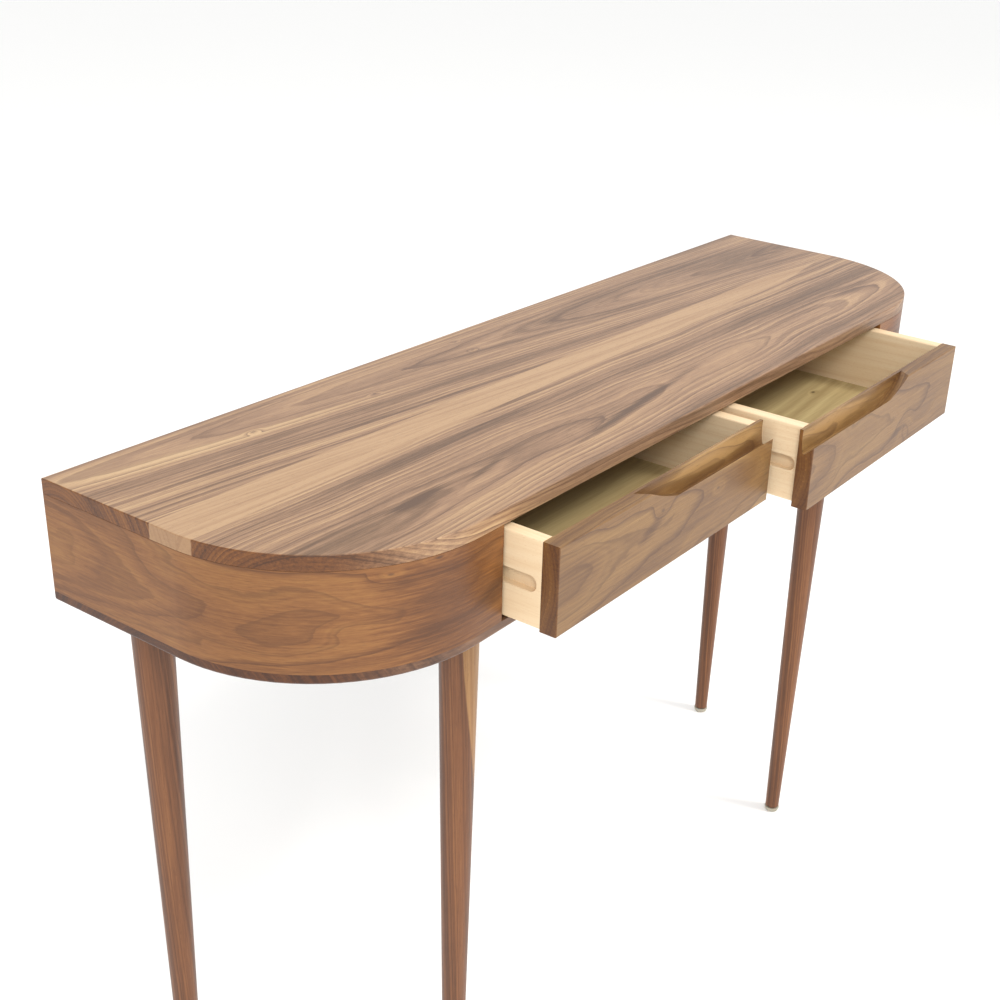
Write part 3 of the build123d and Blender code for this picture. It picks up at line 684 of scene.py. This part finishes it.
legLook = {"heart": (0.04, 0.05), "ring": 3.0 * mm,
           "wander": 2.5 * mm, "wanderLength": 0.3, "wanderWidth": 0.06, "line": "#422713",
           "stops": ((0.0, "#4B2912"), (0.35, "#633B1F"), (0.6, "#744727"), (1.0, "#8C5B33"))}
legCentres = {name: (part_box(name + "_leg")[0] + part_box(name + "_leg")[1]) / 2
              for name in ("front_left", "front_right", "rear_left", "rear_right")}
legBlankMiddle = 0.3
# one leg was turned from a blank with some sapwood down its side
paleSide = 3.73  # which way round the leg the sapwood lies, in radians
legSapwood = {"turn": (0, -math.pi / 2, paleSide), "middle": 21.5 * mm, "slope": -0.026, "half": 8 * mm,
              "narrowing": 0.0, "closeFrom": 0.36, "closeTo": 0.16, "ragged": 5 * mm, "soft": 0.8 * mm,
              "light": "#A37A4C", "dark": "#8A6239"}
legFigure = {"front_left": {"sapwood": legSapwood}}
walnutLeg = {}
for index, (name, centre) in enumerate(legCentres.items()):
    label = name.title().replace("_", "")
    walnutLeg[name] = walnut("walnutLeg" + label, seed=20.0 + 3 * index, turn=upright,
                             centre=(centre.x, centre.y, legBlankMiddle), **legLook,
                             **legFigure.get(name, {}))

beechSide = beech("beechSide", seed=1.0, centre=(0, 0, caseMiddle), turn=frontToBack)
beechBack = beech("beechBack", seed=4.0, centre=(0, 0, caseMiddle))
beechRunner = beech("beechRunner", seed=6.0, centre=(0, 0, caseMiddle), turn=frontToBack)
plyKnot = {"at": (0.306, -0.127, 0.690), "size": (14 * mm, 9 * mm), "swell": 8 * mm, "core": 0.35}
poplarBottom = plywood("poplarBottom", centre=(0, 0, plyLevel), knots=(plyKnot,))


# nylon moulded in one shot: pale warm grey, a fine spark-eroded texture, soft gloss
nylonSpec = {"texture": 0.5 * mm,  # really a tenth of this, drawn coarser to show
             "patch": 12 * mm, "dark": "#A39C8B", "light": "#B3AD9F", "rough": (0.38, 0.5), "ior": 1.53,
             "bump": 0.25, "depth": 0.05 * mm, "soften": 0.1, "softenBy": 1 * mm}


def mouldedNylon(name, spec):
    material, tree = newMaterial(name)
    place = addNode(tree, "TexCoord", out="Object")
    grain = addNode(tree, "TexNoise", {"Vector": place, "Scale": 1 / spec["texture"], "Detail": 2.0})
    patch = addNode(tree, "TexNoise", {"Vector": place, "Scale": 1 / spec["patch"], "Detail": 2.0})
    colour = addNode(tree, "ValToRGB", (patch,), stops=((0.3, spec["dark"]), (0.7, spec["light"])))
    rough = addNode(tree, "MapRange", (grain, 0.3, 0.7, *spec["rough"]), **smooth)
    bump = addNode(tree, "Bump", {"Strength": spec["bump"], "Distance": spec["depth"], "Height": grain})
    shader = addNode(tree, "BsdfPrincipled", {"Base Color": colour, "Roughness": rough, "IOR": spec["ior"],
                                              "Subsurface Weight": spec["soften"],
                                              "Subsurface Scale": spec["softenBy"], "Normal": bump})
    addNode(tree, "OutputMaterial", (shader,))
    return material


# turned steel under a zinc plate: fine rings from the lathe tool, patchy dull plating; the
# yellow passivated screws are the same with a brassy tint
steelSpec = {"patch": 3 * mm, "toolMark": (8 * mm, 8 * mm), "rings": 16 * mm, "ringsUneven": 0.3,
             "bump": 0.2, "depth": 0.04 * mm, "rough": (0.3, 0.48), "light": "#C9C9C4", "dark": "#A7A8A6"}
yellowed = {"rough": (0.3, 0.45), "light": "#CDBD86", "dark": "#A8976A"}


def platedSteel(name, spec):
    material, tree = newMaterial(name)
    place = addNode(tree, "TexCoord", out="Object")
    patch = addNode(tree, "TexNoise", {"Vector": place, "Scale": 1 / spec["patch"], "Detail": 3.0})
    toolMark = stretched(tree, place, *spec["toolMark"], 1.0)
    lathe = addNode(tree, "TexWave", {"Vector": place, "Scale": 1 / spec["rings"],
                                      "Distortion": spec["ringsUneven"]}, "Fac", bands_direction="Z")
    colour = addNode(tree, "ValToRGB", (patch,), stops=((0.35, spec["dark"]), (0.65, spec["light"])))
    rough = addNode(tree, "MapRange", (toolMark, 0.3, 0.7, *spec["rough"]), **smooth)
    bump = addNode(tree, "Bump", {"Strength": spec["bump"], "Distance": spec["depth"], "Height": lathe})
    shader = addNode(tree, "BsdfPrincipled", {"Base Color": colour, "Metallic": 1.0, "Roughness": rough,
                                              "Normal": bump})
    addNode(tree, "OutputMaterial", (shader,))
    return material


greyNylon = mouldedNylon("greyNylon", nylonSpec)
zincSteel = platedSteel("zincSteel", steelSpec)
screwSteel = platedSteel("screwSteel", {**steelSpec, **yellowed})


def materialFor(node):
    side = "left" if "left" in node else "right"
    if "glide_foot" in node:
        return greyNylon
    if "glide_stem" in node or node in ("leg_inserts", "leg_t_nuts", "leg_hanger_bolts"):
        return zincSteel
    if node == "runner_screws":
        return screwSteel
    if node.endswith("drawer_bottom"):
        return poplarBottom
    if node.endswith("_leg"):
        return walnutLeg[node[:-4]]
    if node.endswith("drawer_front"):
        return walnutFront[side]
    if node.endswith("curved_side"):
        return walnutBent[side]
    if node.endswith("runner") or node.endswith("dowels"):
        return beechRunner
    if node.endswith("drawer_back"):
        return beechBack
    if "drawer" in node:
        return beechSide
    panels = {"top_board_front": walnutTopFront, "top_board_rear": walnutTopRear,
              "bottom_panel": walnutBottom, "back_panel": walnutBack}
    return panels.get(node, walnutInner)


for name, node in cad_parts.items():
    node.data.materials.clear()
    node.data.materials.append(materialFor(name))
print("materials assigned")

frontOutline, rearOutline = topOutlines(caseSpec)
topFront = topBoard("topBoardFront", frontOutline, caseSpec)
standFor(topFront, "top_board_front", "case", walnutTopFront)
topRear = topBoard("topBoardRear", rearOutline, caseSpec)
standFor(topRear, "top_board_rear", "case", walnutTopRear)
for side, sign in (("left", -1), ("right", 1)):
    bent = bentSide("bentSide" + side.title(), sign, caseSpec)
    standFor(bent, side + "_curved_side", "case", walnutBent[side])
for name, centre in legCentres.items():
    label = name.title().replace("_", "")
    leg = turnedPiece("leg" + label, legProfile(legSpec), centre)
    standFor(leg, name + "_leg", "case", walnutLeg[name])
    foot = turnedPiece("glideFoot" + label, glideProfile(glideSpec), centre)
    standFor(foot, name + "_glide_foot", name + "_glide", greyNylon)
print("boards, bent sides, legs and glides made")

# floor, light and camera

stageSpec = {"floorSize": 60.0, "floorColour": "#FBFBFA", "floorRough": 0.6, "floorGloss": 0.2}


def makeFloor(spec):
    half = spec["floorSize"] / 2
    mesh = bpy.data.meshes.new("studioFloor")
    corners = [(-half, -half, 0), (half, -half, 0), (half, half, 0), (-half, half, 0)]
    mesh.from_pydata(corners, [], [(0, 1, 2, 3)])
    floor = bpy.data.objects.new("studioFloor", mesh)
    bpy.context.scene.collection.objects.link(floor)
    material, tree = newMaterial("paleFloor")
    shader = addNode(tree, "BsdfPrincipled", {"Base Color": hexColour(spec["floorColour"]),
                                              "Roughness": spec["floorRough"],
                                              "Specular IOR Level": spec["floorGloss"]})
    addNode(tree, "OutputMaterial", (shader,))
    mesh.materials.append(material)


lightSpec = {
    "sky": "#FFFFFF", "skyStrength": 0.98, "aim": (-0.1, -0.1, 0.7),
    "lamps": {"softKey": {"from": (1.6, -3.4, 4.6), "size": 1.2, "power": 150, "colour": "#FFFAF4"},
              "leftFill": {"from": (-3.0, -2.3, 3.3), "size": 1.4, "power": 85, "colour": "#FFFFFF"}},
}


def makeLights(spec):
    world = bpy.data.worlds.new("softStudio")
    bpy.context.scene.world = world
    world.use_nodes = True
    tree = world.node_tree
    tree.nodes.clear()
    sky = addNode(tree, "Background", {"Color": hexColour(spec["sky"]), "Strength": spec["skyStrength"]})
    addNode(tree, "OutputWorld", (sky,))
    for name, lampSpec in spec["lamps"].items():
        lamp = bpy.data.lights.new(name, "AREA")
        lamp.energy, lamp.size = lampSpec["power"], lampSpec["size"]
        lamp.color = hexColour(lampSpec["colour"])[:3]
        holder = bpy.data.objects.new(name, lamp)
        bpy.context.scene.collection.objects.link(holder)
        aim = Vector(spec["aim"]) - Vector(lampSpec["from"])
        holder.location = lampSpec["from"]
        holder.rotation_euler = aim.to_track_quat("-Z", "Y").to_euler()


cameraSpec = {"place": (-1.27543, -0.83972, 1.30188), "azimuth": 56.505, "down": 25.213, "roll": 3.165,
              "lens": 51.65, "sensor": 36, "shift": (-0.0852, 0.0191), "seesFrom": 0.01, "seesTo": 100}


def makeCamera(spec):
    azimuth, down, roll = (math.radians(spec[key]) for key in ("azimuth", "down", "roll"))
    # azimuth turns from the rear towards the right, down tips the view, roll turns the picture
    ahead = np.array((math.sin(azimuth), math.cos(azimuth), 0.0))
    level = np.array((math.cos(azimuth), -math.sin(azimuth), 0.0))
    forward = ahead * math.cos(down) - np.array((0.0, 0.0, math.sin(down)))
    upright = np.cross(level, forward)
    right = level * math.cos(roll) + upright * math.sin(roll)
    up = -level * math.sin(roll) + upright * math.cos(roll)
    data = bpy.data.cameras.new("camera")
    data.lens, data.sensor_width = spec["lens"], spec["sensor"]
    data.shift_x, data.shift_y = spec["shift"]
    data.clip_start, data.clip_end = spec["seesFrom"], spec["seesTo"]
    camera = bpy.data.objects.new("camera", data)
    bpy.context.scene.collection.objects.link(camera)
    turn = Matrix(np.column_stack((right, up, -forward)).tolist()).to_4x4()
    camera.matrix_world = Matrix.Translation(spec["place"]) @ turn
    bpy.context.scene.camera = camera


makeFloor(stageSpec)
makeLights(lightSpec)
makeCamera(cameraSpec)
bpy.context.scene.view_settings.view_transform = "Standard"
print("floor, lights and camera placed")
